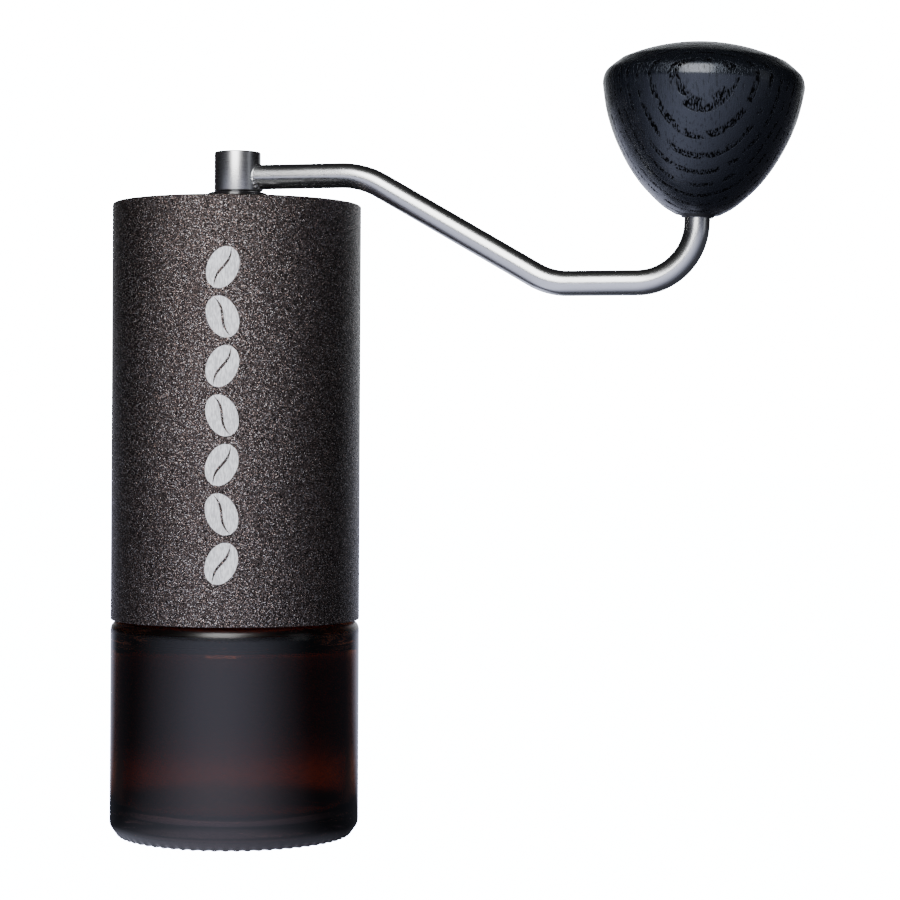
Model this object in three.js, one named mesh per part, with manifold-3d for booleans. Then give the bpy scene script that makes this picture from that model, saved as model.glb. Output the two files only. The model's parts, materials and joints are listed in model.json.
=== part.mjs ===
// Hand crank coffee grinder: a glass jar screwed under a coated metal cylinder that holds a
// hopper, two ball bearings, an axle, a conical burr set with a click dial, a lid and a crank
// arm with a turning oak knob. Millimetres, +Z up, origin at the middle of the jar's base.
// The arm lies along +X.
import * as THREE from 'three';
import { mergeVertices } from 'three/addons/utils/BufferGeometryUtils.js';
import Module from 'manifold-3d';

// ---- driving dimensions ----
const GAP = 0.3; // clearance between resting neighbours
const FINE = 40; // sides of the large round pieces
const MEDIUM = 24; // sides of middling round pieces
const SMALL = 16; // sides of small round pieces

const SHELL = { radius: 30, wall: 1.2, bottom: 52, top: 152.2, edge: 0.8 };
const JAR = { radius: 30, foot: 27.9, footRise: 3.2, wall: 3, floor: 5, shoulder: 52, round: 2.2 };
const NECK = { radius: 25, bore: 22.3, top: 61.5 };
const THREAD = { pitch: 4, turns: 1.1, height: 1.1, base: 0.9, crest: 0.45, topRow: 60 };
const SOCKET = { radius: 26.5, bottom: 52.4, roof: 63.2 };
const INNER_R = SHELL.radius - SHELL.wall - 0.4; // outside of what slides into the shell
const FRAME = { waist: 24, waistFrom: 69, waistTo: 86, top: 97, funnelTop: 23.5, throat: 17.5 };
const RING = { radius: 19.5, bottom: 66, top: 84, neckAt: 72, teeth: 24 };
const BURR = { bottom: 65.5, top: 81, radius: 16.9, waist: 14.2, tip: 7.6, bore: 4.3, teeth: 16 };
const COLLAR = { radius: 7, bottom: 79.5, top: 85.5, slot: 3, slotFloor: 81.5 };
const BURR_CLEARANCE = 0.55; // radial gap between the crests of the two burrs
const AXLE = { radius: 4, bottom: 56, top: 162.6, hexFrom: 155, hexFlat: 6.9 };
const BEARING = { outer: 7.9, inner: 4.3, width: 5, shield: 0.6, raceOuter: 5.2, raceInner: 6.9 };
const LOWER_BEARING_Z = 95.6;
const UPPER_BEARING_Z = 128.9;
const BRIDGE = { hub: 10.2, ring: 23.5, bottom: 97.3, top: 99.8, spokeWidth: 4, spokeHeight: 5 };
const SPOKE_ANGLES = [90, 210, 330].map(THREE.MathUtils.degToRad);
const SCREW = { circle: 24.6, hole: 1.5, shank: 1.2, head: 2.1, tip: 90 };
const CLIP = { inner: 3.85, outer: 6, groove: 3.5, height: 0.8 };
const PIN = { z: 83.4, radius: 1.2, hole: 1.5, length: 13 };
const WASHER = { outer: 7.5, bottom: 93, top: 93.7 };
const BURR_SPRING = { coil: 6.1, wire: 0.6, turns: 4 };
const LINER = { wall: 1.2, bottom: 100.1, top: 151.6, ledge: 145.5, ledgeWall: 2.2 };
const LID = { radius: 27, bottom: 145.8, top: 148.4, boss: 7.25, bossTop: 155.05, bore: 4.6 };
const LID_SKIRT = { radius: 25.6, wall: 1.6, bottom: 139, groove: 0.7 };
const DIAL = { radius: 16.5, bottom: 54.6, top: 63.3, bore: 7.3, lobes: 12, lobeDepth: 0.9 };
const DETENT = { ball: 1, ballZ: 62.75, pocket: 1.35, floor: 58.3, coil: 0.75, wire: 0.2 };
const RETAINER = { inner: 18.2, notch: 19 };
const CLICK = { radius: 12, bottom: 63.9, top: 65.2, circle: 9.6, dimple: 0.9, count: 12 };
const HUB = { radius: 5.6, bottom: 155.3, top: 165, socketTop: 163, socketFlat: 7.5 };
const ROD = { radius: 3, sides: 12, steps: 52 };
const ARM_Z = 158.85; // centre line where the arm leaves the hub
const ARM = [[31.5, ARM_Z, 20], [77.4, 132.45, 16], [111.52, 132.45, 14]]; // x, z, bend radius
const KNOB_LEAN = THREE.MathUtils.degToRad(2.4);
const KNOB_FOOT = [112.13, 147]; // x, z where the knob's axis meets its lowest point
const KNOB = { height: 40.8, bore: 4.6, boreTop: 34, crown: 45 };
const ROD_END = 32.3; // rod's end above the knob's foot

// ---- finishes ----
const finish = (color, roughness, metalness) => ({ color, roughness, metalness });
const COATED = finish(0x2f2522, 0.5, 0.4);
const GLASS = finish(0x1c0f0b, 0.08, 0);
const POLYMER = finish(0x17171a, 0.55, 0);
const STEEL = finish(0xb4b4b2, 0.3, 1);
const BURR_STEEL = finish(0x8f8f8c, 0.35, 1);
const OAK = finish(0x16171b, 0.45, 0);
const BRASS = finish(0xb08d4a, 0.35, 1);
const RUBBER = finish(0x1b1b1b, 0.8, 0);

// ---- helpers ----
const wasm = await Module();
wasm.setup();
const grinder = new THREE.Group();

function add(name, geometry, look, parent = grinder) {
  const mesh = new THREE.Mesh(geometry, new THREE.MeshStandardMaterial(look));
  mesh.name = name;
  parent.add(mesh);
}

// Points [radius, height] turned round Z; the outline is closed and run anticlockwise.
function lathe(outline, sides) {
  const points = outline.map(([r, z]) => new THREE.Vector2(r, z));
  const onAxis = points[0].x === 0 && points[points.length - 1].x === 0;
  if (THREE.ShapeUtils.area(points) < 0) points.reverse();
  if (!onAxis) points.push(points[0].clone());
  return new THREE.LatheGeometry(points, sides).rotateX(Math.PI / 2);
}

function ring(inner, outer, bottom, top, sides = SMALL) {
  return lathe([[inner, bottom], [outer, bottom], [outer, top], [inner, top]], sides);
}

// A fillet of the given radius round a centre, from one angle to another in degrees.
function fillet(r, z, radius, from, to, steps = 3) {
  const points = [];
  for (let i = 0; i <= steps; i += 1) {
    const angle = THREE.MathUtils.degToRad(from + ((to - from) * i) / steps);
    points.push([r + radius * Math.cos(angle), z + radius * Math.sin(angle)]);
  }
  return points;
}

function toSolid(geometry) {
  const bare = geometry.clone();
  bare.deleteAttribute('normal');
  bare.deleteAttribute('uv');
  const merged = mergeVertices(bare, 1e-4);
  const triVerts = [];
  for (let i = 0; i < merged.index.count; i += 3) {
    const [a, b, c] = [0, 1, 2].map((k) => merged.index.getX(i + k));
    if (a !== b && b !== c && a !== c) triVerts.push(a, b, c);
  }
  const vertProperties = new Float32Array(merged.attributes.position.array);
  const mesh = new wasm.Mesh({ numProp: 3, vertProperties, triVerts: new Uint32Array(triVerts) });
  return new wasm.Manifold(mesh);
}

function toGeometry(body) {
  const mesh = body.getMesh();
  const geometry = new THREE.BufferGeometry();
  const positions = new Float32Array(mesh.vertProperties);
  geometry.setAttribute('position', new THREE.BufferAttribute(positions, 3));
  geometry.setIndex(new THREE.BufferAttribute(new Uint32Array(mesh.triVerts), 1));
  return geometry;
}

function join(base, ...parts) {
  return toGeometry(parts.reduce((body, part) => body.add(toSolid(part)), toSolid(base)));
}

function cut(base, ...tools) {
  return toGeometry(tools.reduce((body, tool) => body.subtract(toSolid(tool)), toSolid(base)));
}

function cylinder(radius, bottom, top, x = 0, y = 0, sides = SMALL) {
  const height = top - bottom;
  return new THREE.CylinderGeometry(radius, radius, height, sides)
    .rotateX(Math.PI / 2).translate(x, y, bottom + height / 2);
}

function hexagon(flats, bottom, top) {
  return cylinder(flats / 2 / Math.cos(Math.PI / 6), bottom, top, 0, 0, 6);
}

// A helical ridge: a trapezium bent round the axis, falling one pitch for each turn. Its tip is
// at the outer radius on the jar, and at the inner radius in the socket.
function threadRidge(inner, outer, topRow, tipInside = false) {
  const { base, crest, pitch, turns } = THREAD;
  const [innerHalf, outerHalf] = tipInside ? [crest, base] : [base, crest];
  const section = new THREE.Shape([
    new THREE.Vector2(inner, -innerHalf), new THREE.Vector2(outer, -outerHalf),
    new THREE.Vector2(outer, outerHalf), new THREE.Vector2(inner, innerHalf),
  ]);
  const sweep = turns * 2 * Math.PI;
  const options = { depth: sweep, steps: 30, bevelEnabled: false };
  const geometry = new THREE.ExtrudeGeometry(section, options);
  const position = geometry.attributes.position;
  for (let i = 0; i < position.count; i += 1) {
    const angle = -position.getZ(i);
    const r = position.getX(i);
    const z = position.getY(i) + topRow + (pitch * angle) / (2 * Math.PI);
    position.setXYZ(i, r * Math.cos(angle), r * Math.sin(angle), z);
  }
  return geometry;
}

// Centre [x, y] of a place at that angle on a circle round the axle.
const onCircle = (radius, angle) => [radius * Math.cos(angle), radius * Math.sin(angle)];

function spokes(from, to, bottom, height) {
  return SPOKE_ANGLES.map((angle) => new THREE.BoxGeometry(to - from, BRIDGE.spokeWidth, height)
    .translate((from + to) / 2, 0, bottom + height / 2).rotateZ(angle));
}

class Coil extends THREE.Curve {
  constructor(radius, bottom, top, turns) {
    super();
    Object.assign(this, { radius, bottom, top, turns });
  }

  getPoint(t, target = new THREE.Vector3()) {
    const angle = t * this.turns * 2 * Math.PI;
    const z = this.bottom + t * (this.top - this.bottom);
    return target.set(this.radius * Math.cos(angle), this.radius * Math.sin(angle), z);
  }
}

function coilSpring(radius, wire, bottom, top, turns, stepsPerTurn = 12) {
  const extrudePath = new Coil(radius, bottom + wire, top - wire, turns);
  const section = new THREE.Shape().absarc(0, 0, wire, 0, 2 * Math.PI);
  const steps = turns * stepsPerTurn;
  const options = { extrudePath, steps, curveSegments: 3, bevelEnabled: false };
  return new THREE.ExtrudeGeometry(section, options);
}

// ---- jar ----
function buildJar() {
  const arcR = JAR.radius - JAR.round;
  const arcZ = JAR.shoulder - JAR.round;
  const inside = JAR.radius - JAR.wall;
  const profile = [
    [0, 0], [JAR.foot, 0], [JAR.foot + 1.1, 0.5],
    [JAR.radius - 0.4, 1.6], [JAR.radius, JAR.footRise],
    ...fillet(arcR, arcZ, JAR.round, 0, 90),
    [NECK.radius, JAR.shoulder], [NECK.radius, NECK.top - 0.6], [NECK.radius - 0.6, NECK.top],
    [NECK.bore + 0.6, NECK.top], [NECK.bore, NECK.top - 0.6], [NECK.bore, 50.5],
    [NECK.bore + 1, 48.6], [inside - 0.8, 46.6], [inside, 44.5],
    [inside, JAR.floor + 3], [inside - 0.9, JAR.floor + 0.9], [inside - 3, JAR.floor], [0, JAR.floor],
  ];
  const ridge = threadRidge(NECK.radius - 0.5, NECK.radius + THREAD.height, THREAD.topRow);
  add('jar', join(lathe(profile, FINE), ridge), GLASS);
  const seat = NECK.top + GAP;
  add('jar_seal_ring', ring(NECK.bore + 0.4, NECK.radius - 0.2, seat, seat + 1.1, MEDIUM), RUBBER);
}

// ---- casing, frame and hopper ----
function buildShell() {
  const { radius, wall, bottom, top, edge } = SHELL;
  const inside = radius - wall;
  const profile = [
    [inside + 0.2, bottom], [radius - 0.35, bottom], [radius, bottom + 0.35],
    ...fillet(radius - edge, top - edge, edge, 0, 90),
    [inside + 0.2, top], [inside, top - 0.2], [inside, bottom + 0.2],
  ];
  add('outer_shell', lathe(profile, FINE), COATED);
}

function screwHoles() {
  return SPOKE_ANGLES.map((angle) => {
    const [x, y] = onCircle(SCREW.circle, angle);
    return cylinder(SCREW.hole, SCREW.tip - 1, BRIDGE.top + 1, x, y, 12);
  });
}

function buildLowerFrame() {
  const { waist, waistFrom, waistTo, top, funnelTop, throat } = FRAME;
  const pocket = RING.radius + GAP;
  const profile = [
    [SOCKET.radius, SOCKET.bottom], [INNER_R, SOCKET.bottom], [INNER_R, waistFrom - 2],
    [waist, waistFrom], [waist, waistTo], [INNER_R, waistTo + 2], [INNER_R, top], [funnelTop, top],
    [throat, RING.top + 2], [throat, RING.top + GAP], [pocket, RING.top + GAP],
    [pocket, RING.bottom], [pocket + 1.3, RING.bottom], [pocket + 1.3, SOCKET.roof],
    [SOCKET.radius, SOCKET.roof],
  ];
  const crest = SOCKET.radius - THREAD.height;
  const row = THREAD.topRow - THREAD.pitch / 2; // half a pitch below the jar's own ridge
  const ridge = threadRidge(crest, SOCKET.radius + 0.5, row, true);
  add('lower_frame', cut(join(lathe(profile, FINE), ridge), ...screwHoles()), POLYMER);
}

function bearingHub(bearingZ) {
  const bottom = bearingZ - GAP - 1.5;
  const pocket = BEARING.outer + 0.25;
  return [
    [6.6, bottom], [BRIDGE.hub, bottom], [BRIDGE.hub, bearingZ + BEARING.width + GAP],
    [pocket, bearingZ + BEARING.width + GAP], [pocket, bearingZ - GAP], [6.6, bearingZ - GAP],
  ];
}

function buildBearingBridge() {
  const { hub, ring: inner, bottom, top } = BRIDGE;
  const rim = ring(inner, INNER_R, bottom, top, FINE);
  const arms = spokes(hub - 1, inner + 1.2, bottom, top - bottom);
  const body = join(lathe(bearingHub(LOWER_BEARING_Z), MEDIUM), rim, ...arms);
  add('bearing_bridge', cut(body, ...screwHoles()), POLYMER);
  const { tip, shank, head, circle } = SCREW;
  const profile = [
    [0, tip], [shank, tip], [shank, top + GAP], [head, top + GAP], [head, top + 1.1],
    [head - 0.6, top + 1.7], [0.9, top + 1.7], [0.9, top + 0.9], [0, top + 0.9],
  ];
  SPOKE_ANGLES.forEach((angle, i) => {
    const screw = lathe(profile, 12).translate(...onCircle(circle, angle), 0);
    add(`bridge_screw_${i + 1}`, screw, STEEL);
  });
}

function buildHopperLiner() {
  const { wall, bottom, top, ledge, ledgeWall } = LINER;
  const profile = [
    [INNER_R - wall, bottom], [INNER_R, bottom], [INNER_R, top - 0.4], [INNER_R - 0.4, top],
    [INNER_R - wall + 0.3, top], [INNER_R - wall + 0.1, top - 0.3], [INNER_R - wall + 0.1, ledge],
    [INNER_R - ledgeWall, ledge], [INNER_R - ledgeWall, ledge - 7], [INNER_R - wall, ledge - 9],
  ];
  const reach = INNER_R - wall + 0.6;
  const arms = spokes(BRIDGE.hub - 1, reach, UPPER_BEARING_Z - 1, BRIDGE.spokeHeight);
  const hub = lathe(bearingHub(UPPER_BEARING_Z), MEDIUM);
  add('hopper_liner', join(lathe(profile, FINE), hub, ...arms), POLYMER);
}

// ---- bearings and axle ----
function buildBearing(prefix, z) {
  const { outer, inner, width, shield, raceOuter, raceInner } = BEARING;
  const lip = raceOuter + 0.4;
  const profile = [
    [lip, z], [outer, z], [outer, z + width], [lip, z + width], [lip, z + width - shield],
    [raceInner, z + width - shield], [raceInner, z + shield], [lip, z + shield],
  ];
  add(`${prefix}_bearing_outer_race`, lathe(profile, MEDIUM), STEEL);
  add(`${prefix}_bearing_inner_race`, ring(inner, raceOuter, z, z + width), STEEL);
}

function circlip(z) {
  const plate = ring(CLIP.inner, CLIP.outer, z, z + CLIP.height);
  const mouth = new THREE.BoxGeometry(6, 2.6, 3).translate(5.4, 0, z);
  return cut(plate, mouth);
}

function buildAxle() {
  const { radius, bottom, top, hexFrom, hexFlat } = AXLE;
  const groove = (z) => {
    const above = z + CLIP.height + GAP;
    return [[radius, z - GAP], [CLIP.groove, z - GAP], [CLIP.groove, above], [radius, above]];
  };
  const lowerClip = LOWER_BEARING_Z - GAP - CLIP.height;
  const upperClip = UPPER_BEARING_Z + BEARING.width + GAP;
  const profile = [
    [0, bottom], [radius - 0.7, bottom], [radius, bottom + 0.7],
    ...groove(lowerClip), ...groove(upperClip), [radius, hexFrom], [0, hexFrom],
  ];
  const bar = (r, length) => new THREE.CylinderGeometry(r, r, length, 12).translate(0, 0, PIN.z);
  const shaft = join(lathe(profile, SMALL), hexagon(hexFlat, hexFrom - 1, top));
  add('axle', cut(shaft, bar(PIN.hole, PIN.length - 1)), STEEL);
  add('drive_pin', bar(PIN.radius, PIN.length), STEEL);
  add('lower_circlip', circlip(lowerClip), STEEL);
  add('upper_circlip', circlip(upperClip), STEEL);
  add('spring_washer', ring(radius + GAP, WASHER.outer, WASHER.bottom, WASHER.top), STEEL);
  const { coil, wire, turns } = BURR_SPRING;
  const spring = coilSpring(coil, wire, COLLAR.top + GAP, WASHER.bottom - GAP, turns);
  add('burr_spring', spring, STEEL);
}

// ---- burrs ----
function toothed(radius, depth, teeth) {
  const points = [];
  for (let i = 0; i < teeth; i += 1) {
    for (const [part, r] of [[0, radius], [0.7, radius - depth]]) {
      const angle = ((i + part) / teeth) * 2 * Math.PI;
      points.push(new THREE.Vector2(...onCircle(r, angle)));
    }
  }
  return points;
}

// Height of a tooth: shallow in the grinding land, deeper in the breaking zone above it.
function toothDepth(z) {
  return THREE.MathUtils.mapLinear(Math.max(z, RING.neckAt), RING.neckAt, RING.top, 0.6, 1.8);
}

function burrRadius(z) {
  const { bottom, radius, waist, tip, top } = BURR;
  if (z < RING.neckAt) return THREE.MathUtils.mapLinear(z, bottom, RING.neckAt, radius, waist);
  return THREE.MathUtils.mapLinear(z, RING.neckAt, top, waist, tip);
}

function ringRadius(z) {
  if (z < RING.neckAt) return burrRadius(z) + BURR_CLEARANCE;
  return THREE.MathUtils.mapLinear(z, RING.neckAt, RING.top, BURR.waist + BURR_CLEARANCE, 16.6);
}

// Moves each toothed vertex of an extrusion to its radius at that height and twists it.
function shapeTeeth(geometry, bottom, isToothed, radiusAt, twist) {
  const position = geometry.attributes.position;
  for (let i = 0; i < position.count; i += 1) {
    const [x, y, z] = [position.getX(i), position.getY(i), position.getZ(i) + bottom];
    const angle = Math.atan2(y, x) + twist * position.getZ(i);
    const flat = Math.hypot(x, y);
    const r = isToothed(flat) ? radiusAt(z, flat) : flat;
    const turned = isToothed(flat) ? angle : Math.atan2(y, x);
    position.setXYZ(i, r * Math.cos(turned), r * Math.sin(turned), z);
  }
  return geometry;
}

function buildInnerBurr() {
  const outline = new THREE.Shape(toothed(BURR.radius, 0.6, BURR.teeth));
  outline.holes.push(new THREE.Path().absarc(0, 0, BURR.bore, 0, 2 * Math.PI));
  const depth = BURR.top - BURR.bottom;
  const options = { depth, steps: 6, curveSegments: 9, bevelEnabled: false };
  const block = new THREE.ExtrudeGeometry(outline, options);
  const radiusAt = (z, flat) => burrRadius(z) - (flat > BURR.radius - 0.3 ? 0 : toothDepth(z));
  const isToothed = (r) => r > BURR.bore + 1;
  const cone = shapeTeeth(block, BURR.bottom, isToothed, radiusAt, 0.03);
  const collar = ring(BURR.bore, COLLAR.radius, COLLAR.bottom, COLLAR.top);
  const slotHeight = COLLAR.top - COLLAR.slotFloor + 1;
  const slot = new THREE.BoxGeometry(COLLAR.slot, 20, slotHeight)
    .translate(0, 0, COLLAR.slotFloor + slotHeight / 2);
  add('inner_burr', cut(join(cone, collar), slot, cylinder(BURR.bore, 60, 90)), BURR_STEEL);
}

function buildRingBurr() {
  const { radius, bottom, top, teeth } = RING;
  const outline = new THREE.Shape().absarc(0, 0, radius, 0, 2 * Math.PI);
  const crest = BURR.radius + BURR_CLEARANCE;
  outline.holes.push(new THREE.Path(toothed(crest + 0.6, 0.6, teeth)));
  const options = { depth: top - bottom, steps: 3, curveSegments: 20, bevelEnabled: false };
  const radiusAt = (z, flat) => ringRadius(z) + (flat < crest + 0.3 ? 0 : toothDepth(z));
  const isToothed = (r) => r < radius - 0.5;
  const block = new THREE.ExtrudeGeometry(outline, options);
  add('ring_burr', shapeTeeth(block, bottom, isToothed, radiusAt, -0.03), BURR_STEEL);
  const retainer = ring(RETAINER.inner, radius + 1.3, SOCKET.roof + 0.2, bottom - GAP, MEDIUM);
  const notches = SPOKE_ANGLES.map((angle) => new THREE.BoxGeometry(3, 2.4, 3)
    .translate(RETAINER.notch, 0, SOCKET.roof).rotateZ(angle));
  add('burr_retaining_ring', cut(retainer, ...notches), STEEL);
}

// ---- grind adjustment ----
function buildDial() {
  const { radius, bottom, top, bore, lobes, lobeDepth } = DIAL;
  const points = [];
  for (let i = 0; i < lobes * 4; i += 1) {
    const angle = (i / (lobes * 4)) * 2 * Math.PI;
    const r = radius - lobeDepth * (0.5 - 0.5 * Math.cos(angle * lobes));
    points.push(new THREE.Vector2(...onCircle(r, angle)));
  }
  const outline = new THREE.Shape(points);
  outline.holes.push(new THREE.Path().absarc(0, 0, bore, 0, 2 * Math.PI));
  const options = { depth: top - bottom, bevelEnabled: false, curveSegments: 12 };
  const block = new THREE.ExtrudeGeometry(outline, options).translate(0, 0, bottom);
  const places = [0, Math.PI].map((angle) => onCircle(CLICK.circle, angle));
  const pockets = places.map(([x, y]) => cylinder(DETENT.pocket, DETENT.floor, top + 1, x, y, 12));
  const recess = ring(bore + 1.2, radius - 2.6, bottom - 1, bottom + 1.2, MEDIUM);
  add('adjustment_dial', cut(block, ...pockets, recess), POLYMER);
  const nut = [
    [AXLE.radius + GAP, bottom + 0.6], [bore - GAP, bottom + 0.6], [bore - GAP, top - 0.3],
    [AXLE.radius + GAP, top - 0.3],
  ];
  add('dial_nut', lathe(nut, SMALL), BRASS);
  const { ball, ballZ, floor, coil, wire } = DETENT;
  places.forEach(([x, y], i) => {
    const sphere = new THREE.SphereGeometry(ball, 10, 6).rotateX(Math.PI / 2);
    add(`detent_ball_${i + 1}`, sphere.translate(x, y, ballZ), STEEL);
    const spring = coilSpring(coil, wire, floor + GAP, ballZ - ball - GAP, 3, 8);
    add(`detent_spring_${i + 1}`, spring.translate(x, y, 0), STEEL);
  });
}

function buildClickPlate() {
  const plate = ring(AXLE.radius + GAP, CLICK.radius, CLICK.bottom, CLICK.top, MEDIUM);
  const dimples = Array.from({ length: CLICK.count }, (_, i) => {
    const [x, y] = onCircle(CLICK.circle, (i / CLICK.count) * 2 * Math.PI);
    return new THREE.SphereGeometry(CLICK.dimple, 8, 4).rotateX(Math.PI / 2)
      .translate(x, y, CLICK.bottom - 0.3);
  });
  add('click_plate', cut(plate, ...dimples), STEEL);
}

// ---- lid ----
function buildLid() {
  const { radius, bottom, top, boss, bossTop, bore } = LID;
  const { radius: skirt, wall, bottom: skirtBottom, groove } = LID_SKIRT;
  const profile = [
    [skirt - wall, skirtBottom], [skirt, skirtBottom], [skirt, 141], [skirt - groove, 141],
    [skirt - groove, 143], [skirt, 143], [skirt, bottom], [radius, bottom], [radius, top - 0.8],
    [radius - 0.8, top], [boss + 1.4, top], [boss + 0.4, top + 0.4], [boss, top + 1.4],
    ...fillet(boss - 1, bossTop - 1, 1, 0, 90), [bore, bossTop], [bore, bottom - 3],
    [bore + 2, bottom - 3], [bore + 2, bottom], [skirt - wall, bottom],
  ];
  add('lid', lathe(profile, 36), POLYMER);
  add('lid_seal', ring(skirt - groove + 0.2, skirt + 0.3, 141.2, 142.8, MEDIUM), RUBBER);
}

// ---- crank ----
// A round bend in the XZ plane about a centre.
class BendCurve extends THREE.Curve {
  constructor(centre, from, to) {
    super();
    this.centre = centre;
    this.from = from.clone().sub(centre);
    this.axis = this.from.clone().cross(to.clone().sub(centre)).normalize();
    this.angle = this.from.angleTo(to.clone().sub(centre));
  }

  getPoint(t, target = new THREE.Vector3()) {
    return target.copy(this.from).applyAxisAngle(this.axis, t * this.angle).add(this.centre);
  }
}

function armPath() {
  const foot = new THREE.Vector2(...KNOB_FOOT);
  const lean = new THREE.Vector2(Math.sin(KNOB_LEAN), Math.cos(KNOB_LEAN));
  const end = foot.clone().addScaledVector(lean, ROD_END);
  const corners = [[0, ARM_Z], ...ARM, [end.x, end.y]];
  const at = (x, z) => new THREE.Vector3(x, 0, z);
  const path = new THREE.CurvePath();
  let start = at(...corners[0]);
  ARM.forEach(([x, z, bend], i) => {
    const corner = at(x, z);
    const back = at(corners[i][0], corners[i][1]).sub(corner).normalize();
    const ahead = at(corners[i + 2][0], corners[i + 2][1]).sub(corner).normalize();
    const half = back.angleTo(ahead) / 2;
    const reach = bend / Math.tan(half);
    const centre = corner.clone().add(back.clone().add(ahead).setLength(bend / Math.sin(half)));
    const from = corner.clone().addScaledVector(back, reach);
    const to = corner.clone().addScaledVector(ahead, reach);
    path.add(new THREE.LineCurve3(start, from));
    path.add(new BendCurve(centre, from, to));
    start = to;
  });
  path.add(new THREE.LineCurve3(start, at(end.x, end.y)));
  return path;
}

function buildCrank() {
  const { radius, bottom, top, socketTop, socketFlat } = HUB;
  const profile = [
    [0, bottom], [radius - 0.3, bottom], [radius, bottom + 0.3],
    [radius, top - 0.4], [radius - 0.4, top], [0, top],
  ];
  add('crank_hub', cut(lathe(profile, MEDIUM), hexagon(socketFlat, bottom - 1, socketTop)), STEEL);
  const points = [];
  for (let i = 0; i < ROD.sides; i += 1) {
    const angle = (i / ROD.sides) * 2 * Math.PI;
    points.push(new THREE.Vector2(...onCircle(ROD.radius, angle)));
  }
  const options = { extrudePath: armPath(), steps: ROD.steps, bevelEnabled: false };
  const rod = new THREE.ExtrudeGeometry(new THREE.Shape(points), options);
  add('crank_rod', cut(rod, cylinder(radius + GAP, bottom - 1, top + 1, 0, 0, MEDIUM)), STEEL);
}

// ---- knob, in a frame whose Z runs up the leaning rod ----
function knobOutline() {
  const flank = [
    [5.2, 1.2], [8.2, 2.8], [11.5, 5.7], [14.2, 8.6], [17.2, 12.9], [20.1, 18.5], [22.1, 24.1],
    [23.2, 29.6], [23.3, 31.5],
  ];
  const rim = [[23, 32.9], [22.3, 34.2], [20.8, 35.3]];
  const crownSteps = 4;
  const crownZ = KNOB.height - KNOB.crown;
  const spread = Math.asin(19 / KNOB.crown);
  const crown = Array.from({ length: crownSteps + 1 }, (_, i) => {
    const angle = spread * (1 - i / crownSteps);
    return [i === crownSteps ? 0 : KNOB.crown * Math.sin(angle), crownZ + KNOB.crown * Math.cos(angle)];
  });
  return [[0, KNOB.boreTop], [KNOB.bore, KNOB.boreTop], [KNOB.bore, 1.3], ...flank, ...rim, ...crown];
}

function buildKnob() {
  const group = new THREE.Group();
  group.position.set(KNOB_FOOT[0], 0, KNOB_FOOT[1]);
  group.rotation.y = KNOB_LEAN;
  grinder.add(group);
  add('knob', lathe(knobOutline(), MEDIUM), OAK, group);
  const sleeve = KNOB.bore - GAP;
  const bore = ROD.radius + GAP;
  const bush = [[bore, 0.35], [bore + 0.25, 0.35], [sleeve, 1.2], [sleeve, 29.2], [bore, 29.2]];
  add('knob_bush', lathe(bush, SMALL), POLYMER, group);
  add('knob_washer', ring(bore, sleeve, 29.5, 30.1), STEEL, group);
  const clip = cut(ring(bore, sleeve, 30.4, 31.2), new THREE.BoxGeometry(4, 2, 3).translate(4, 0, 31));
  add('knob_clip', clip, STEEL, group);
}

buildJar();
buildShell();
buildLowerFrame();
buildBearingBridge();
buildHopperLiner();
buildBearing('lower', LOWER_BEARING_Z);
buildBearing('upper', UPPER_BEARING_Z);
buildAxle();
buildInnerBurr();
buildRingBurr();
buildClickPlate();
buildDial();
buildLid();
buildCrank();
buildKnob();

export default grinder;
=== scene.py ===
# %% [markdown]
# # A hand crank coffee grinder
# The grinder is a glass jar, a coated metal cylinder with burrs inside, and a bent crank arm
# with an oak knob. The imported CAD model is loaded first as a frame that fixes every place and
# every joint. What shows is then made again as fine surfaces, worked out with numpy.

import json
import math

import bmesh
import bpy
import numpy as np
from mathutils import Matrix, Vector


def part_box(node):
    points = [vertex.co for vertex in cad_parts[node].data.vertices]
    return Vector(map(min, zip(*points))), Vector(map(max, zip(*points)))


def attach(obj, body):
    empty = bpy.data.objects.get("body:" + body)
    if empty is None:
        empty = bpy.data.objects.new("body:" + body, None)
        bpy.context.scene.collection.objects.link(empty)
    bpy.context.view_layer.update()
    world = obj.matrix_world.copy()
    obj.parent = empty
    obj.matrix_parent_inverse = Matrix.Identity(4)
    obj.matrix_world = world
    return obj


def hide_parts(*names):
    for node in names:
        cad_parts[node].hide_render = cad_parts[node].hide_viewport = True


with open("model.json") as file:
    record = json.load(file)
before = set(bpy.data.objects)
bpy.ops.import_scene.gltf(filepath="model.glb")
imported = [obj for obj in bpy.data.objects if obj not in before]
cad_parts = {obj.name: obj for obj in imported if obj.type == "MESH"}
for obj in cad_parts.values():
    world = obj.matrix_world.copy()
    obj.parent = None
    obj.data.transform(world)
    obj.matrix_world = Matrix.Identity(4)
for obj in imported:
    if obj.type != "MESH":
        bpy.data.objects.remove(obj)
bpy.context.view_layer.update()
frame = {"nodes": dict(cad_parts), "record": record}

MM = 0.001
TURN = 2 * math.pi


def height_of(node):
    """Lowest and highest Z of a CAD node, in millimetres."""
    low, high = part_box(node)
    return low[2] / MM, high[2] / MM


SHELL_R = 30.0
SHELL_LOW, SHELL_TOP = height_of("outer_shell")
print(f"shell from {SHELL_LOW:.1f} to {SHELL_TOP:.1f} mm, radius {SHELL_R} mm")

# %% [markdown]
# ## Surfaces from two parameters
# Nearly every piece here is turned, so its surface is an outline carried round the axle. A grid of
# points takes one parameter along the outline and one round the turn. Modelling tools could do it
# by hand, but a formula keeps each size next to its name.

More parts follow.
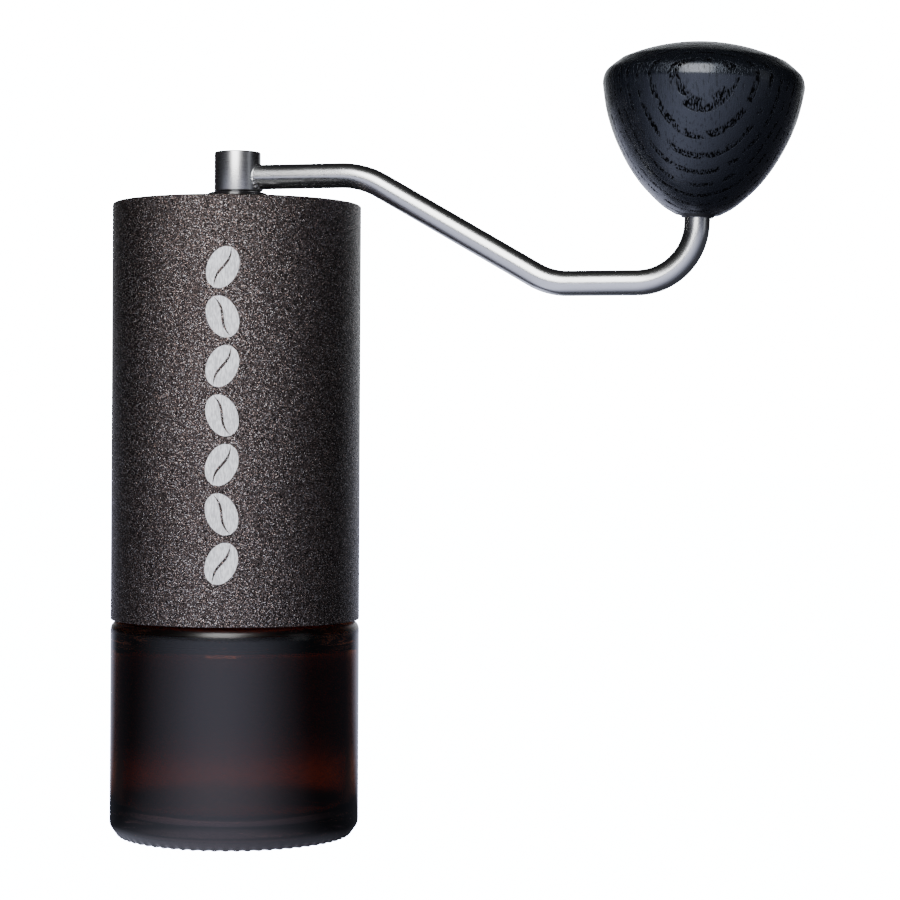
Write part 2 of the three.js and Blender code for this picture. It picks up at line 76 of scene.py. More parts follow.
# %% Grid to mesh
def grid_piece(name, points, wrap=True, loop=True, uv=None):
    """A mesh from points[i, j]: i runs along the outline and j round the turn. wrap closes j, and
    loop closes i. uv, if given, is one (u, v) for each grid point."""
    rows, columns = points.shape[:2]
    index = np.arange(rows * columns).reshape(rows, columns)
    i = np.arange(rows if loop else rows - 1)
    j = np.arange(columns if wrap else columns - 1)
    a = index[np.ix_(i, j)]
    b = index[np.ix_(i, (j + 1) % columns)]
    c = index[np.ix_((i + 1) % rows, (j + 1) % columns)]
    d = index[np.ix_((i + 1) % rows, j)]
    faces = np.stack([a, b, c, d], axis=-1).reshape(-1, 4)
    mesh = bpy.data.meshes.new(name)
    mesh.from_pydata(points.reshape(-1, 3) * MM, [], faces)
    if uv is not None:
        layer = mesh.uv_layers.new(name="along")
        layer.data.foreach_set("uv", uv.reshape(-1, 2)[faces.ravel()].astype(np.float32).ravel())
    work = bmesh.new()
    work.from_mesh(mesh)
    bmesh.ops.remove_doubles(work, verts=work.verts, dist=1e-7)
    bmesh.ops.dissolve_degenerate(work, edges=work.edges, dist=1e-8)
    bmesh.ops.recalc_face_normals(work, faces=work.faces)
    work.to_mesh(mesh)
    work.free()
    mesh.shade_smooth()
    mesh.set_sharp_from_angle(angle=math.radians(38))
    piece = bpy.data.objects.new(name, mesh)
    bpy.context.collection.objects.link(piece)
    print(f"{name}: {len(mesh.polygons)} faces")
    return piece


# %% Outlines with rounded corners
def rounded(corners, steps=5):
    """An outline through corners (r, z, fillet radius): each corner is replaced by an arc that
    touches both of its edges, and a corner of radius 0 stays sharp."""
    corners = np.array(corners, float)
    places = corners[:, :2]
    out = []
    for k, (place, radius) in enumerate(zip(places, corners[:, 2])):
        if radius == 0:
            out.append(place[None])
            continue
        back = places[k - 1] - place
        ahead = places[(k + 1) % len(places)] - place
        back_length, ahead_length = np.linalg.norm(back), np.linalg.norm(ahead)
        back, ahead = back / back_length, ahead / ahead_length
        half = math.acos(np.clip(back @ ahead, -1, 1)) / 2
        reach = min(radius / math.tan(half), back_length / 2.02, ahead_length / 2.02)
        bend = reach * math.tan(half)
        middle = back + ahead
        centre = place + middle / np.linalg.norm(middle) * bend / math.sin(half)
        start, end = place + back * reach - centre, place + ahead * reach - centre
        from_angle = math.atan2(start[1], start[0])
        turn = (math.atan2(end[1], end[0]) - from_angle + math.pi) % TURN - math.pi
        angles = from_angle + turn * np.linspace(0, 1, steps + 1)
        out.append(centre + bend * np.stack([np.cos(angles), np.sin(angles)], axis=1))
    return np.concatenate(out)


def finer(outline, step, loop=True):
    """The same outline with extra points, so that no stretch is longer than step."""
    ends = np.roll(outline, -1, axis=0) if loop else outline[1:]
    starts = outline if loop else outline[:-1]
    parts = []
    for a, b in zip(starts, ends):
        count = max(1, math.ceil(np.linalg.norm(b - a) / step))
        parts.append(a + (b - a) * (np.arange(count) / count)[:, None])
    if not loop:
        parts.append(outline[-1:])
    return np.concatenate(parts)


def turned(name, corners, sides=160, loop=True, shape=None, steps=5, step=None):
    """A turned piece: the outline (r, z) goes to (r cos t, r sin t, z) for t round one turn.
    shape(r, t, z), if given, returns the moved r and z."""
    outline = rounded(corners, steps)
    if step:
        outline = finer(outline, step, loop)
    t = np.arange(sides) / sides * TURN
    r = np.repeat(outline[:, :1], sides, axis=1)
    z = np.repeat(outline[:, 1:], sides, axis=1)
    if shape:
        r, z = shape(r, t[None, :], z)
    points = np.stack([r * np.cos(t), r * np.sin(t), z], axis=-1)
    return grid_piece(name, points, loop=loop)


def place(piece, body, slot, material, *nodes):
    """Gives a finished piece its body and its material, and hides the CAD nodes it stands for.
    slot is not used.
    """
    piece.data.materials.append(material)
    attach(piece, body)
    if nodes:
        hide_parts(*nodes)
    return piece


# %% [markdown]
# ## Finishes
# Materials are built from nodes. A few helpers keep each one short: `new_material` makes the
# Principled shader with its plain values, `node` adds a node and links its inputs, and node groups
# hold the effects that several finishes share.

# %% Node helpers
def new_material(name, **values):
    """A material with a Principled shader, whose sockets take the given plain values."""
    material = bpy.data.materials.new(name)
    material.use_nodes = True
    shader = material.node_tree.nodes["Principled BSDF"]
    for socket, value in values.items():
        shader.inputs[socket.replace("_", " ")].default_value = value
    return material, material.node_tree, shader


def node(tree, kind, settings=None, **inputs):
    """Adds a node. settings are its own properties, and inputs are values or output sockets."""
    made = tree.nodes.new(kind)
    for key, value in (settings or {}).items():
        setattr(made, key, value)
    for key, value in inputs.items():
        socket = made.inputs[int(key[1:])] if key[1:].isdigit() else made.inputs[key.replace("_", " ")]
        if isinstance(value, bpy.types.NodeSocket):
            tree.links.new(value, socket)
        else:
            socket.default_value = value
    return made


def math_node(tree, operation, a, b=0.0, c=0.0):
    return node(tree, "ShaderNodeMath", {"operation": operation}, i0=a, i1=b, i2=c).outputs[0]


def ramp(tree, value, low, high, to_low=0.0, to_high=1.0):
    """Maps value from low..high to to_low..to_high with a smooth step, held at both ends."""
    made = node(tree, "ShaderNodeMapRange", {"interpolation_type": "SMOOTHSTEP"}, Value=value)
    for key, number in (("From Min", low), ("From Max", high), ("To Min", to_low), ("To Max", to_high)):
        made.inputs[key].default_value = number
    return made.outputs[0]


def mix_colour(tree, factor, a, b):
    made = node(tree, "ShaderNodeMix", {"data_type": "RGBA"})
    for socket, value in ((made.inputs[0], factor), (made.inputs[6], a), (made.inputs[7], b)):
        if isinstance(value, bpy.types.NodeSocket):
            tree.links.new(value, socket)
        else:
            socket.default_value = value
    return made.outputs[2]


def grain_group():
    """Node group: noise stretched along one direction. Its inputs are a vector, the grain count
    per metre on each axis and its detail; it puts out a mask from 0 to 1."""
    group = bpy.data.node_groups.new("stretched_grain", "ShaderNodeTree")
    face = group.interface
    face.new_socket("Vector", in_out="INPUT", socket_type="NodeSocketVector")
    face.new_socket("Grain", in_out="INPUT", socket_type="NodeSocketVector")
    face.new_socket("Detail", in_out="INPUT", socket_type="NodeSocketFloat")
    face.new_socket("Mask", in_out="OUTPUT", socket_type="NodeSocketFloat")
    ends = node(group, "NodeGroupInput")
    out = node(group, "NodeGroupOutput")
    scaled = node(group, "ShaderNodeVectorMath", {"operation": "MULTIPLY"},
                  i0=ends.outputs["Vector"], i1=ends.outputs["Grain"]).outputs[0]
    noise = node(group, "ShaderNodeTexNoise", Vector=scaled, Scale=1.0, Detail=ends.outputs["Detail"],
                 Roughness=0.6)
    group.links.new(noise.outputs[0], out.inputs["Mask"])
    return group


GRAIN = grain_group()


def grain(tree, vector, per_metre, detail=2.0):
    """Places the stretched grain group and returns its mask."""
    made = node(tree, "ShaderNodeGroup", {"node_tree": GRAIN})
    tree.links.new(vector, made.inputs["Vector"])
    made.inputs["Grain"].default_value = per_metre
    made.inputs["Detail"].default_value = detail
    return made.outputs["Mask"]


def object_place(tree):
    return node(tree, "ShaderNodeTexCoord").outputs["Object"]


def bump(tree, shader, height, distance):
    """A Bump node of that depth in metres, feeding the shader's Normal."""
    made = node(tree, "ShaderNodeBump", Height=height, Distance=distance, Strength=1.0)
    tree.links.new(made.outputs[0], shader.inputs["Normal"])


# %% [markdown]
# ### Sparkling powder coat
# The cylinder has a dark brown coat with a fine wrinkle and metal flakes in it. A cell pattern
# gives each flake its own shade, and a noise about a quarter of a millimetre across gives the
# wrinkle that catches the light. The same noise paints shade into the wrinkle's hollows: there the
# colour sinks almost to black, and no flakes show.

# %% Powder coat
def powder_coat():
    material, tree, shader = new_material("sparkling_powder_coat", Metallic=0.85, Roughness=0.46,
                                          Specular_IOR_Level=0.5)
    where = object_place(tree)
    wrinkle = node(tree, "ShaderNodeTexNoise", Vector=where, Scale=4400.0, Detail=2.0, Roughness=0.6)
    cells = node(tree, "ShaderNodeTexVoronoi", Vector=where, Scale=4900.0)
    shade = node(tree, "ShaderNodeSeparateColor", Color=cells.outputs["Color"])
    flakes = ramp(tree, shade.outputs[0], 0.66, 0.92)
    rosy = ramp(tree, shade.outputs[1], 0.35, 0.85)
    # Painted shade: the colour sinks almost to black in the wrinkle's hollows, and the flakes show only on
    # its ridges.
    painted_hollow_shade_mask = ramp(tree, wrinkle.outputs[0], 0.42, 0.58)
    coat_with_painted_hollow_shade = mix_colour(tree, painted_hollow_shade_mask, (0.003, 0.0024, 0.0022, 1), (0.088, 0.068, 0.063, 1))
    glint = mix_colour(tree, rosy, (0.62, 0.59, 0.59, 1), (0.54, 0.39, 0.34, 1))
    tree.links.new(mix_colour(tree, math_node(tree, "MULTIPLY", flakes, painted_hollow_shade_mask), coat_with_painted_hollow_shade, glint),
                   shader.inputs["Base Color"])
    tree.links.new(ramp(tree, flakes, 0.0, 1.0, 0.36, 0.24), shader.inputs["Roughness"])
    bump(tree, shader, wrinkle.outputs[0], 0.00020)
    return material


COAT = powder_coat()

# %% [markdown]
# ### Black stained oak
# Oak has rings of open pores. The knob was turned from a board whose rings are nearly flat, and
# stand on edge towards the front, so the taper cuts them into nested arcs. The pattern is solid:
# distance across the board gives the rings, and noise stretched along the grain gives the pores.

# %% Knob frame and oak
KNOB_LEAN = math.radians(2.4)
KNOB_FOOT = np.array([112.13, 0.0, 147.0])
RING_PITCH = 2.2
BOARD_FACE = math.atan2(-0.9893, 0.1457)


def black_oak():
    material, tree, shader = new_material("black_stained_oak", Specular_IOR_Level=0.5, Coat_Roughness=0.20)
    where = node(tree, "ShaderNodeMapping", {"vector_type": "TEXTURE"}, Vector=object_place(tree))
    where.inputs["Location"].default_value = KNOB_FOOT * MM
    where.inputs["Rotation"].default_value = (0, KNOB_LEAN, BOARD_FACE)
    local = where.outputs[0]
    wander = node(tree, "ShaderNodeTexNoise", Vector=local, Scale=55.0, Detail=2.0)
    parts = node(tree, "ShaderNodeSeparateXYZ", Vector=local)
    depth = math_node(tree, "DIVIDE", parts.outputs[0], RING_PITCH * MM)
    depth = math_node(tree, "MULTIPLY_ADD", wander.outputs[0], 0.22, depth)
    ring = math_node(tree, "FRACT", math_node(tree, "ADD", depth, 0.61))
    away = math_node(tree, "ABSOLUTE", math_node(tree, "MULTIPLY_ADD", ring, 4.4, -1.3))
    early = ramp(tree, math_node(tree, "SUBTRACT", 1.0, away), 0.1, 0.4)
    fibre = grain(tree, local, (2600, 2600, 150), 3.0)
    pores = grain(tree, local, (3000, 3000, 700), 1.0)
    cluster = ramp(tree, grain(tree, local, (330, 330, 330), 0.0), 0.36, 0.44)
    open_pore = math_node(tree, "MULTIPLY", ramp(tree, pores, 0.46, 0.52), early)
    open_pore = math_node(tree, "MULTIPLY", open_pore, cluster)
    small_pore = math_node(tree, "MULTIPLY", ramp(tree, fibre, 0.54, 0.70), 0.45)
    dark = math_node(tree, "MAXIMUM", open_pore, small_pore)
    wood = mix_colour(tree, fibre, (0.0022, 0.0026, 0.0036, 1), (0.0064, 0.0076, 0.0112, 1))
    tree.links.new(mix_colour(tree, dark, wood, (0.0012, 0.0012, 0.0014, 1)), shader.inputs["Base Color"])
    tree.links.new(ramp(tree, dark, 0.0, 1.0, 0.27, 0.9), shader.inputs["Roughness"])
    # Painted blue sheen: the wood's reflections are tinted blue; the open pores dull them, which is their
    # own.
    pore_dull_and_painted_blue_sheen = mix_colour(tree, dark, (0.72, 0.82, 1.0, 1), (0.03, 0.03, 0.04, 1))
    tree.links.new(pore_dull_and_painted_blue_sheen, shader.inputs["Specular Tint"])
    tree.links.new(ramp(tree, dark, 0.0, 1.0, 0.60, 0.0), shader.inputs["Coat Weight"])
    relief = math_node(tree, "MULTIPLY_ADD", dark, -1.0, math_node(tree, "MULTIPLY", fibre, 0.8))
    bump(tree, shader, relief, 0.00013)
    return material


OAK = black_oak()


# %% [markdown]
# ### Metals, plastics and glass
# Steel is told apart by the way it was worked: fine lines round the hub, along the arm, round a
# turned washer. Each finish is the same idea, noise pulled out along the direction of the work,
# with its own colour and roughness.

# %% Worked metals
def worked_metal(name, colour, roughness, per_metre, relief, spread=0.10, along=False):
    """A metal with lines pulled out along the smallest of per_metre. along reads the piece's own
    map along its length in place of Object coordinates."""
    material, tree, shader = new_material(name, Metallic=1.0, Roughness=roughness)
    where = node(tree, "ShaderNodeUVMap", {"uv_map": "along"}).outputs[0] if along else object_place(tree)
    lines = grain(tree, where, per_metre, 3.0)
    cloud = node(tree, "ShaderNodeTexNoise", Vector=object_place(tree), Scale=140.0, Detail=2.0)
    darker = tuple(c * 0.80 for c in colour) + (1,)
    lighter = tuple(min(1.0, c * 1.08) for c in colour) + (1,)
    tree.links.new(mix_colour(tree, lines, darker, lighter), shader.inputs["Base Color"])
    blurred = math_node(tree, "MULTIPLY_ADD", lines, spread, roughness - spread / 2)
    blurred = math_node(tree, "MULTIPLY_ADD", cloud.outputs[0], 0.06, blurred)
    tree.links.new(blurred, shader.inputs["Roughness"])
    bump(tree, shader, lines, relief)
    return material


HUB_STEEL = worked_metal("steel_brushed_round", (0.76, 0.76, 0.76), 0.26, (350, 350, 9000), 0.000004)
ARM_STEEL = worked_metal("steel_satin_along", (0.74, 0.745, 0.75), 0.23, (9000, 250, 1), 0.000004, along=True)
PLAIN_STEEL = worked_metal("steel_turned", (0.50, 0.50, 0.49), 0.30, (500, 500, 5000), 0.000006)
BURR_STEEL = worked_metal("steel_ground", (0.40, 0.40, 0.39), 0.36, (1500, 1500, 4500), 0.000012)
RACE_STEEL = worked_metal("steel_polished", (0.62, 0.62, 0.62), 0.14, (300, 300, 5000), 0.000003, 0.05)
WIRE_STEEL = worked_metal("steel_wire", (0.45, 0.45, 0.44), 0.26, (2500, 2500, 900), 0.000006)
BRASS = worked_metal("brass_turned", (0.69, 0.50, 0.22), 0.27, (400, 400, 6000), 0.000008)


# %% Plastics and rubber
def moulded(name, colour, roughness, grain_size, relief, coat=0.0):
    """A moulded surface: a fine texture of that grain in metres, and roughness that drifts."""
    material, tree, shader = new_material(name, Roughness=roughness, Coat_Weight=coat, Coat_Roughness=0.08)
    where = object_place(tree)
    fine = node(tree, "ShaderNodeTexNoise", Vector=where, Scale=1 / grain_size, Detail=3.0)
    drift = node(tree, "ShaderNodeTexNoise", Vector=where, Scale=70.0, Detail=2.0)
    lighter = tuple(c * 1.5 for c in colour) + (1,)
    tree.links.new(mix_colour(tree, fine.outputs[0], colour + (1,), lighter), shader.inputs["Base Color"])
    tree.links.new(ramp(tree, drift.outputs[0], 0.3, 0.7, roughness - 0.05, roughness + 0.08),
                   shader.inputs["Roughness"])
    bump(tree, shader, fine.outputs[0], relief)
    return material


def printed_ink():
    """Pale ink, wiped on: the coat's grain shows through it as short grey strokes up the piece."""
    material, tree, shader = new_material("pale_printed_ink", Roughness=0.45)
    strokes = grain(tree, object_place(tree), (3200, 3200, 700), 3.0)
    worn = ramp(tree, strokes, 0.40, 0.62)
    tree.links.new(mix_colour(tree, worn, (0.60, 0.60, 0.60, 1), (0.98, 0.98, 0.97, 1)),
                   shader.inputs["Base Color"])
    tree.links.new(ramp(tree, worn, 0.0, 1.0, 0.60, 0.38), shader.inputs["Roughness"])
    bump(tree, shader, strokes, 0.00004)
    return material


POLYMER = moulded("black_moulded_polymer", (0.013, 0.013, 0.014), 0.42, 0.0004, 0.00003)
GLOSS_POLYMER = moulded("black_gloss_polymer", (0.010, 0.010, 0.011), 0.20, 0.004, 0.00001, 0.5)
RUBBER = moulded("black_rubber", (0.012, 0.012, 0.012), 0.62, 0.0006, 0.00002)
PRINT = printed_ink()


# %% Amber glass
def amber_glass():
    """Dark brown glass. It is tinted where light passes a surface, and pressed glass is never quite
    even, so a slow swell and a little orange peel bend the reflections. Height sets the rest: the
    tint is painted lighter near the foot and the shoulder, as light shining through, it is darker
    at the very bottom, and the surface is duller above the shoulder."""
    material, tree, shader = new_material("dark_amber_glass", Transmission_Weight=1.0, IOR=1.52,
                                          Roughness=0.0, Metallic=0.0)
    where = object_place(tree)
    swell = grain(tree, where, (60, 60, 28), 1.0)
    peel = node(tree, "ShaderNodeTexNoise", Vector=where, Scale=1000.0, Detail=2.0)
    height = node(tree, "ShaderNodeSeparateXYZ", Vector=where).outputs[2]
    band = math_node(tree, "MULTIPLY", ramp(tree, height, 0.034, 0.043),
                     ramp(tree, height, 0.046, 0.052, 1.0, 0.3))
    rippled = math_node(tree, "MULTIPLY", peel.outputs[0], math_node(tree, "MULTIPLY_ADD", band, 0.09, 0.01))
    # Painted light: the tint is lighter in a band above the foot and towards the shoulder, as if light shone
    # through there.
    painted_light_band = math_node(tree, "MULTIPLY", ramp(tree, height, 0.004, 0.014),
                     ramp(tree, height, 0.014, 0.024, 1.0, 0.0))
    painted_light_band = math_node(tree, "MAXIMUM", painted_light_band, ramp(tree, height, 0.040, 0.050, 0.0, 0.8))
    tint = mix_colour(tree, painted_light_band, (0.055, 0.019, 0.013, 1), (0.210, 0.070, 0.034, 1))
    # The tint is darker towards the bottom.
    tint = mix_colour(tree, ramp(tree, height, 0.005, 0.010), (0.016, 0.010, 0.011, 1), tint)
    tree.links.new(tint, shader.inputs["Base Color"])
    tree.links.new(ramp(tree, height, 0.0475, 0.0500, 0.02, 0.28), shader.inputs["Roughness"])
    bump(tree, shader, math_node(tree, "ADD", rippled, swell), 0.00018)
    return material


GLASS = amber_glass()
print("finishes:", len(bpy.data.materials))

# %% [markdown]
# ## The jar
# The jar is pressed glass, round, with a rounded shoulder, a ribbed foot, a raised bottom and a
# one-start thread on its neck. The foot's ribs and the thread are small moves of a turned surface,
# so one function of angle and height makes both.

# %% Thread and jar
THREAD_PITCH, THREAD_TURNS, THREAD_TOP, THREAD_HEIGHT = 4.0, 1.1, 60.0, 1.1
NECK_R, NECK_BORE, NECK_TOP, SHOULDER_Z = 25.0, 22.3, 61.5, 52.0
JAR_R, FOOT_R, FOOT_RIBS, RIB_LIFT = 30.0, 28.0, 67, 0.42


def ridge(t, z, top_row):
    """Height, 0 to 1, of a helical ridge: at angle t it is centred one pitch lower for each turn
    gone back, is 1.9 mm thick at its root, and fades out at both ends."""
    total = np.zeros(np.broadcast(t, z).shape)
    for whole in range(2):
        gone = (-t / TURN) % 1 + whole
        away = np.abs(z - (top_row - THREAD_PITCH * gone))
        ends = np.clip(np.minimum(gone, THREAD_TURNS - gone) / 0.03, 0, 1)
        total = np.maximum(total, ends * np.clip((0.95 - away) / 0.5, 0, 1))
    return total


def jar_shape(r, t, z):
    """Adds the neck's ridge outside it, and lifts the foot between its ribs by up to RIB_LIFT."""
    outside = (r > NECK_R - 0.01) & (r < NECK_R + 0.4) & (z > SHOULDER_Z + 0.1) & (z < NECK_TOP - 0.5)
    grown = r + np.where(outside, THREAD_HEIGHT * ridge(t, z, THREAD_TOP), 0)
    near_foot = np.exp(-((r - FOOT_R - 0.2) / 1.1) ** 2) * np.clip(1 - z / 1.4, 0, 1)
    lifted = z + RIB_LIFT * near_foot * (0.5 - 0.5 * np.cos(FOOT_RIBS * t))
    return grown, lifted


jar_outline = [
    (0, 1.0, 0), (20, 1.0, 6), (24.4, 0.0, 2), (FOOT_R, 0, 1.0), (JAR_R, 2.8, 2.6),
    (JAR_R, SHOULDER_Z, 3.0), (NECK_R, SHOULDER_Z, 0.5), (NECK_R, NECK_TOP, 0.7), (NECK_BORE, NECK_TOP, 0.7),
    (NECK_BORE, 49.6, 2.5), (JAR_R - 3, 46.0, 3), (JAR_R - 3, 5.4, 4), (0, 4.6, 0),
]
jar = turned("jar_glass", jar_outline, sides=FOOT_RIBS * 6, loop=False, shape=jar_shape, steps=8, step=0.9)
place(jar, "jar", "amber_glass", GLASS, "jar")

# %% [markdown]
# ## The coated cylinder and what sits in it
# The cylinder is a plain tube with a small round at its rim. The lid and its seal are turned as
# well. What sits deeper keeps its CAD shape, and gets its finish further on.

# %% Shell
shell = turned("cylinder_shell", [
    (28.8, SHELL_LOW, 0.15), (SHELL_R, SHELL_LOW, 0.30), (SHELL_R, SHELL_TOP, 0.8), (28.8, SHELL_TOP, 0.25),
], sides=256)
place(shell, "grinder_body", "coated_steel", COAT, "outer_shell")

# %% Lid
lid_top = height_of("lid")[1]
lid = turned("hopper_lid", [
    (24, 139, 0.3), (25.6, 139, 0.5), (25.6, 141, 0.05), (24.9, 141, 0.1), (24.9, 143, 0.1),
    (25.6, 143, 0.05), (25.6, 145.8, 0.1), (27, 145.8, 0.3), (27, 148.4, 0.9), (19, 148.1, 3),
    (9.4, 148.6, 2), (7.25, 150.4, 1.4), (7.25, lid_top, 0.4), (4.6, lid_top, 0.3), (4.6, 142.8, 0.3),
    (6.6, 142.8, 0.4), (6.6, 145.6, 0.5), (24, 145.6, 0.6),
], sides=192)
place(lid, "lid", "gloss_polymer", GLOSS_POLYMER, "lid")
seal = turned("lid_seal_ring", [
    (25.1, 141.2, 0.5), (25.9, 141.2, 0.5), (25.9, 142.8, 0.5), (25.1, 142.8, 0.5),
])
place(seal, "lid", "black_rubber", RUBBER, "lid_seal")

# %% [markdown]
# ## The crank
# The arm is a round rod bent in one plane. Its centre line is straight stretches joined by arcs,
# and the surface carries a circle along it. Where it meets the hub it is welded, and the bead is a
# small rounded collar that follows both round surfaces.

# %% Arm centre line
HUB_R, ROD_R = 5.6, 3.0
HUB_LOW, HUB_TOP = height_of("crank_hub")
ARM_Z = 158.85
LEAN = np.array([math.sin(KNOB_LEAN), math.cos(KNOB_LEAN)])
ROD_END = KNOB_FOOT[[0, 2]] + 32.3 * LEAN
arm_corners = [(4.2, ARM_Z, 0), (31.5, ARM_Z, 20), (77.4, 132.45, 16), (111.52, 132.45, 14), (*ROD_END, 0)]
centre_line = finer(rounded(arm_corners, steps=22), 1.5, loop=False)
ahead = np.gradient(centre_line, axis=0)
ahead /= np.linalg.norm(ahead, axis=1)[:, None]
length = np.concatenate([[0], np.cumsum(np.linalg.norm(np.diff(centre_line, axis=0), axis=1))])
print(f"arm centre line {length[-1]:.0f} mm long, {len(centre_line)} stations")


# %% Rod, hub and weld
def swept_rod(name, sides=48):
    """A circle carried along the centre line, in the plane across it. Each end is closed flat, by
    one more station of radius 0. The map takes the way round as u and the length as v."""
    radius = np.full(len(centre_line), ROD_R)
    line = np.concatenate([centre_line[:1], centre_line, centre_line[-1:]])
    way = np.concatenate([ahead[:1], ahead, ahead[-1:]])
    radius = np.concatenate([[0], radius, [0]])
    run = np.concatenate([length[:1], length, length[-1:]])
    t = np.arange(sides) / sides * TURN
    side = np.stack([-way[:, 1], way[:, 0]], axis=1)
    x = line[:, :1] + side[:, :1] * radius[:, None] * np.sin(t)
    z = line[:, 1:] + side[:, 1:] * radius[:, None] * np.sin(t)
    y = radius[:, None] * np.cos(t)
    way_round = np.broadcast_to(t * ROD_R * MM, x.shape)
    way_along = np.broadcast_to(run[:, None] * MM, x.shape)
    uv = np.stack([way_round, way_along], axis=-1)
    return grid_piece(name, np.stack([x, y, z], axis=-1), loop=False, uv=uv)


rod = swept_rod("crank_arm_rod")
place(rod, "crank", "satin_steel", ARM_STEEL, "crank_rod")
hub = turned("crank_arm_hub", [
    (4.33, HUB_LOW, 0.1), (HUB_R, HUB_LOW, 0.35), (HUB_R, HUB_TOP, 0.35), (0, HUB_TOP, 0),
    (0, 163, 0), (4.33, 163, 0),
], sides=128)
place(hub, "crank", "brushed_steel", HUB_STEEL, "crank_hub")


def weld_bead(name, sides=160):
    """A bead round the join: at angle t round the rod it lies where the rod leaves the hub, at
    x = sqrt(hub radius squared - y squared), with a round section whose size ripples with t."""
    t = np.arange(sides) / sides * TURN
    under = np.clip(-np.sin(t) + 0.25, 0, 1)
    size = 0.30 + 0.40 * under * (0.75 + 0.25 * np.cos(22 * t))
    y, z = ROD_R * np.cos(t), ROD_R * np.sin(t)
    x = np.sqrt(HUB_R**2 - y**2)
    s = np.linspace(0, TURN, 15)[:-1, None]
    out_x = x + size * 0.9 * np.cos(s)
    grow = 1 + size * 0.9 * np.sin(s) / ROD_R
    return grid_piece(name, np.stack([out_x, y * grow, ARM_Z + z * grow], axis=-1))


place(weld_bead("hub_weld_bead"), "crank", "brushed_steel", HUB_STEEL)

# %% [markdown]
# ## The knob
# The knob is one turned piece of oak that leans out a little with the rod it spins on. Its flank
# swells from the rod to a round rim, and a shallow dome closes it. It is turned about its own axis
# first, and its points are then leaned and moved to their place.


# %% Lean and knob
def leaned(piece):
    """Turns a piece made round Z by the knob's lean, and moves it to the knob's foot."""
    count = len(piece.data.vertices)
    flat = np.empty(count * 3)
    piece.data.vertices.foreach_get("co", flat)
    x, y, z = flat.reshape(-1, 3).T
    moved = np.stack([x * LEAN[1] + z * LEAN[0], y, z * LEAN[1] - x * LEAN[0]], axis=1) + KNOB_FOOT * MM
    piece.data.vertices.foreach_set("co", moved.ravel())
    piece.data.update()
    return piece


def smooth_line(points, count):
    """A Catmull-Rom curve through the points, sampled count times on each stretch."""
    p = np.array(points, float)
    p = np.concatenate([2 * p[:1] - p[1:2], p, 2 * p[-1:] - p[-2:-1]])
    u = (np.arange(count) / count)[:, None]
    parts = [
        0.5 * (2 * b + (c - a) * u + (2 * a - 5 * b + 4 * c - d) * u**2 + (3 * b - a - 3 * c + d) * u**3)
        for a, b, c, d in zip(p, p[1:], p[2:], p[3:])
    ]
    return np.concatenate(parts + [p[-2:-1]])


flank = [
    (5.1, 1.0), (8.2, 2.8), (11.5, 5.7), (14.2, 8.6), (17.2, 12.9), (20.1, 18.5), (22.1, 24.1),
    (23.2, 29.6), (23.3, 31.5), (22.7, 33.4), (21.2, 34.9),
]
CROWN_R, KNOB_HIGH = 45.0, 40.8
crown_angle = np.linspace(math.asin(19.2 / CROWN_R), 0, 14)
crown = np.stack([CROWN_R * np.sin(crown_angle), KNOB_HIGH - CROWN_R + CROWN_R * np.cos(crown_angle)], axis=1)
wall = smooth_line(flank + [tuple(crown[0])], 5)
bore = np.array([(0, 34), (4.6, 34), (4.6, 1.5), (4.7, 1.25)])
knob_outline = np.concatenate([bore, wall, crown[1:]])
knob_corners = np.column_stack([knob_outline, np.zeros(len(knob_outline))])
knob = leaned(turned("oak_knob", knob_corners, sides=180, loop=False))
place(knob, "knob", "black_oak", OAK, "knob")
bush = leaned(turned("knob_bush_sleeve", [
    (3.3, 0.35, 0.1), (3.6, 0.35, 0.15), (4.3, 1.3, 0.3), (4.3, 29.2, 0.3), (3.3, 29.2, 0.1),
], sides=64))
place(bush, "knob", "black_polymer", POLYMER, "knob_bush")

# %% [markdown]
# ## Printed ornament
# The cylinder carries a narrow pale print that runs up its front. Here it is a plain column of
# coffee beans. Each half bean is a grid between the bean's edge and its curved slit, laid on the
# round surface a few hundredths of a millimetre proud.

# %% Bean print
PRINT_ANGLE = math.radians(-90 + 12.5)
BEAN_TILT = math.radians(24)
PRINT_MIDDLE, PRINT_PITCH, BEANS = 101.0, 11.4, 7


def half_bean(sign, tilt, middle):
    """Points of one half: s runs along the bean and w from the slit out to the edge. The slit is a
    shallow S, and the edge an ellipse 10.2 mm long and 7.2 mm wide, turned by tilt."""
    s = np.linspace(-1, 1, 25)[:, None]
    w = np.linspace(0, 1, 6)[None, :]
    long_half, wide_half = 5.1, 3.6
    slit = 0.55 * np.sin(s * math.pi) + sign * 0.33 * (1 - s**2)
    edge = sign * wide_half * np.sqrt(np.clip(1 - s**2, 0, 1))
    across = slit + (edge - slit) * w
    along = long_half * s + 0 * w
    u = across * math.cos(tilt) - along * math.sin(tilt)
    v = across * math.sin(tilt) + along * math.cos(tilt)
    angle = PRINT_ANGLE + u / SHELL_R
    r = SHELL_R + 0.03
    return np.stack([r * np.cos(angle), r * np.sin(angle), middle + v], axis=-1)


prints = []
for k in range(BEANS):
    tilt = BEAN_TILT if k % 2 else -BEAN_TILT
    middle = PRINT_MIDDLE + (k - (BEANS - 1) / 2) * PRINT_PITCH
    for sign in (-1, 1):
        points = half_bean(sign, tilt, middle)
        prints.append(grid_piece(f"bean_print_{k}_{sign + 1}", points, wrap=False, loop=False))
for piece in prints:
    place(piece, "grinder_body", "coated_steel", PRINT)

# %% [markdown]
# ## Inner pieces that keep their CAD shape
# The other pieces are small or sit deep inside. Their CAD shape is right, so each takes the finish
# of what it is made of.

